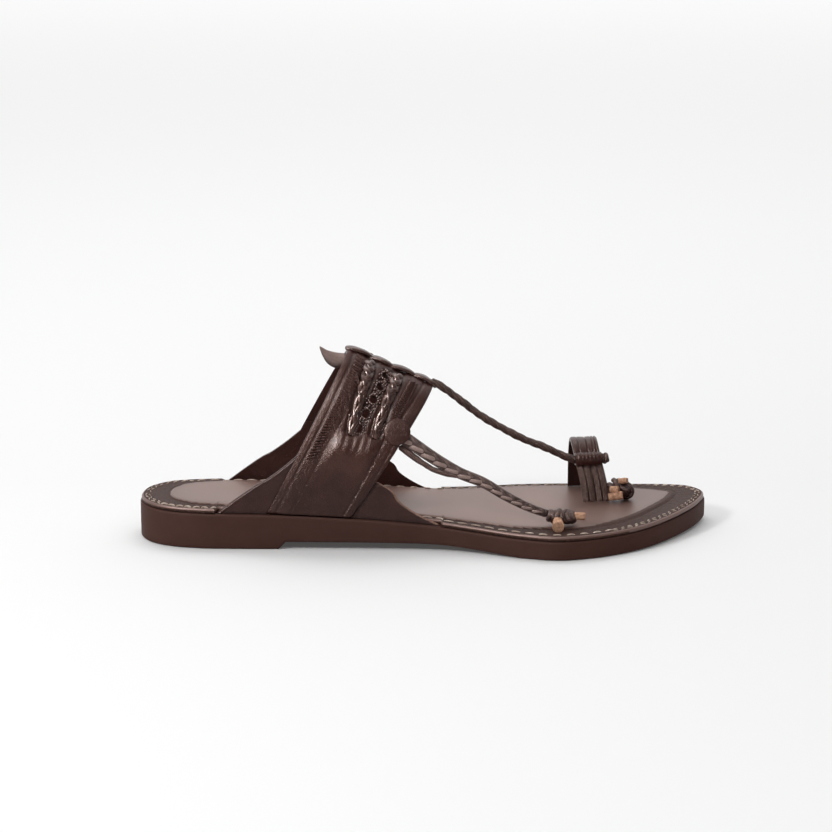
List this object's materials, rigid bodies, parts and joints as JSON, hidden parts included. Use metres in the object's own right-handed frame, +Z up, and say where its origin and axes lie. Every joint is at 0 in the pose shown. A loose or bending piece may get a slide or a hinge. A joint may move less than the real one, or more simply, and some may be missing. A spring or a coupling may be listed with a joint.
{
  "type": "kolhapuri sandal",
  "caption": "Open leather sandal for the right foot: arch band with ears, plaits and openwork, toe cord, side braid and a big toe ring on a flat moulded sole.",
  "frame": {"origin": "on the ground under the middle of the sole's length and width", "axes": "+X to the toe, +Y to the big toe's side, +Z up"},
  "size_m": [0.2852, 0.1014, 0.0977],
  "materials": {
    "sole": "matte moulded rubber, dark reddish brown",
    "footbed": "satin taupe brown pad with a dark antiqued border",
    "strap": "polished dark brown leather, embossed",
    "cord": "twisted and plaited dark brown leather thong"
  },
  "bodies": {
    "root": {"outsole": "sole", "insole": "footbed", "upper": "strap", "plait_rear_little_toe_side": "strap", "plait_front_little_toe_side": "strap", "plait_rear_big_toe_side": "strap", "plait_front_big_toe_side": "strap", "side_disc": "strap", "spine_thong": "strap", "tail_leaf": "strap", "toe_ring": "strap", "toe_cord": "cord", "side_braid": "cord", "side_strand": "cord", "knot_side": "cord", "knot_toe": "cord"}
  },
  "joints": []
}
